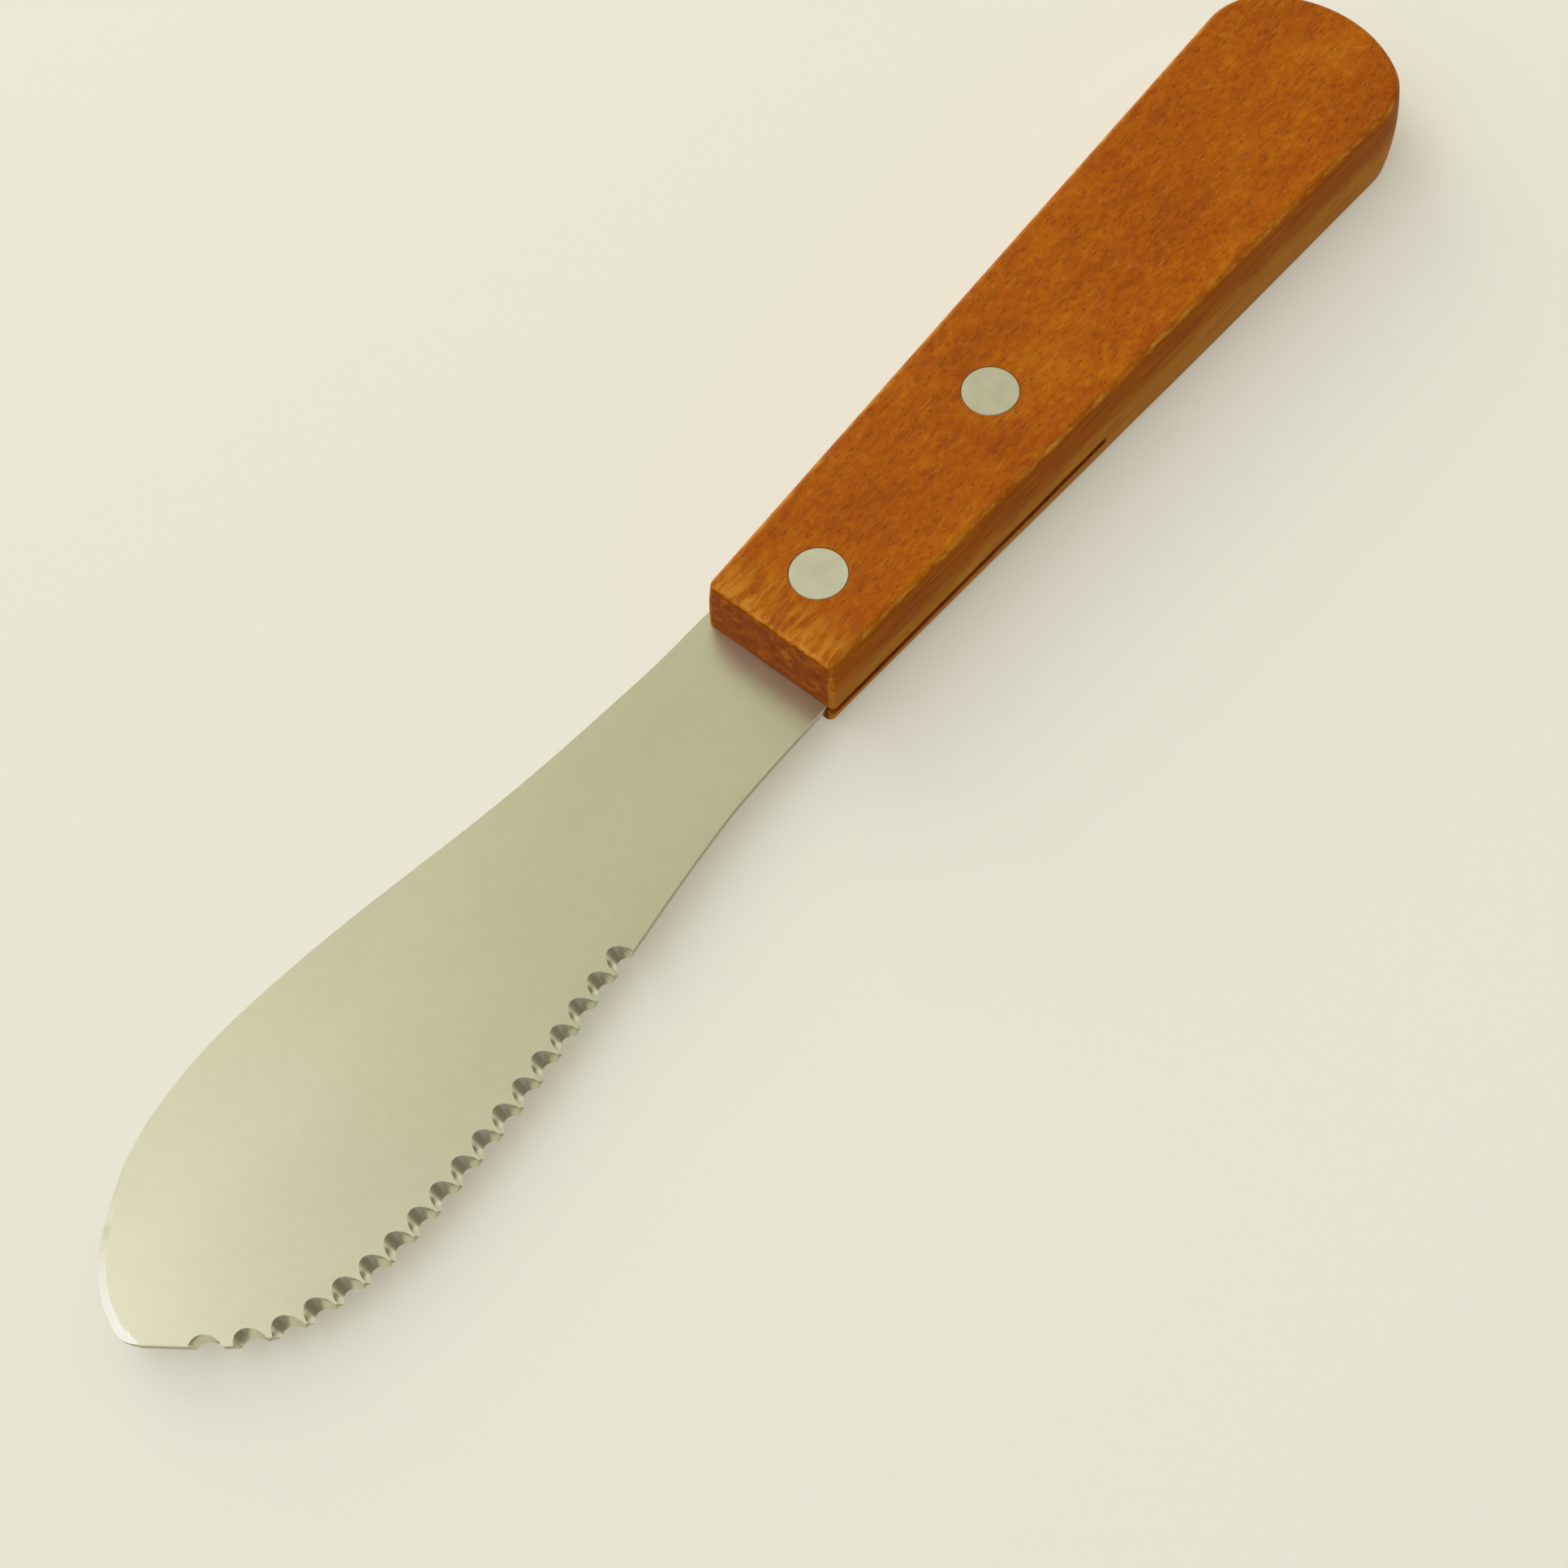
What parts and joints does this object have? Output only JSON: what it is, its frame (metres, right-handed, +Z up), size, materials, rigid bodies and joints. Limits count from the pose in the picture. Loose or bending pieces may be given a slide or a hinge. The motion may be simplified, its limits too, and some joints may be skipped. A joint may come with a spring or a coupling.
{
  "type": "butter knife",
  "caption": "Butter knife for spreading: a riveted, slotted hardwood handle and a wide rounded steel blade that is scalloped along one edge.",
  "frame": {"origin": "on the handle's flat underside, on the rivet line, halfway along the handle", "axes": "+X along the knife to the blade tip, +Y to the scalloped edge, +Z up through the rivets from the underside to the face with the post heads"},
  "size_m": [0.2051, 0.0306, 0.0126],
  "materials": {
    "blade_steel": "rolled and lightly tumbled stainless sheet, satin",
    "handle_wood": "stained hardwood, satin, worn light along the edges",
    "rivet_metal": "satin, sanded flush with the wood"
  },
  "bodies": {
    "root": {"blade": "blade_steel", "handle": "handle_wood", "front_rivet_post": "rivet_metal", "front_rivet_sleeve": "rivet_metal", "rear_rivet_post": "rivet_metal", "rear_rivet_sleeve": "rivet_metal"}
  },
  "joints": []
}
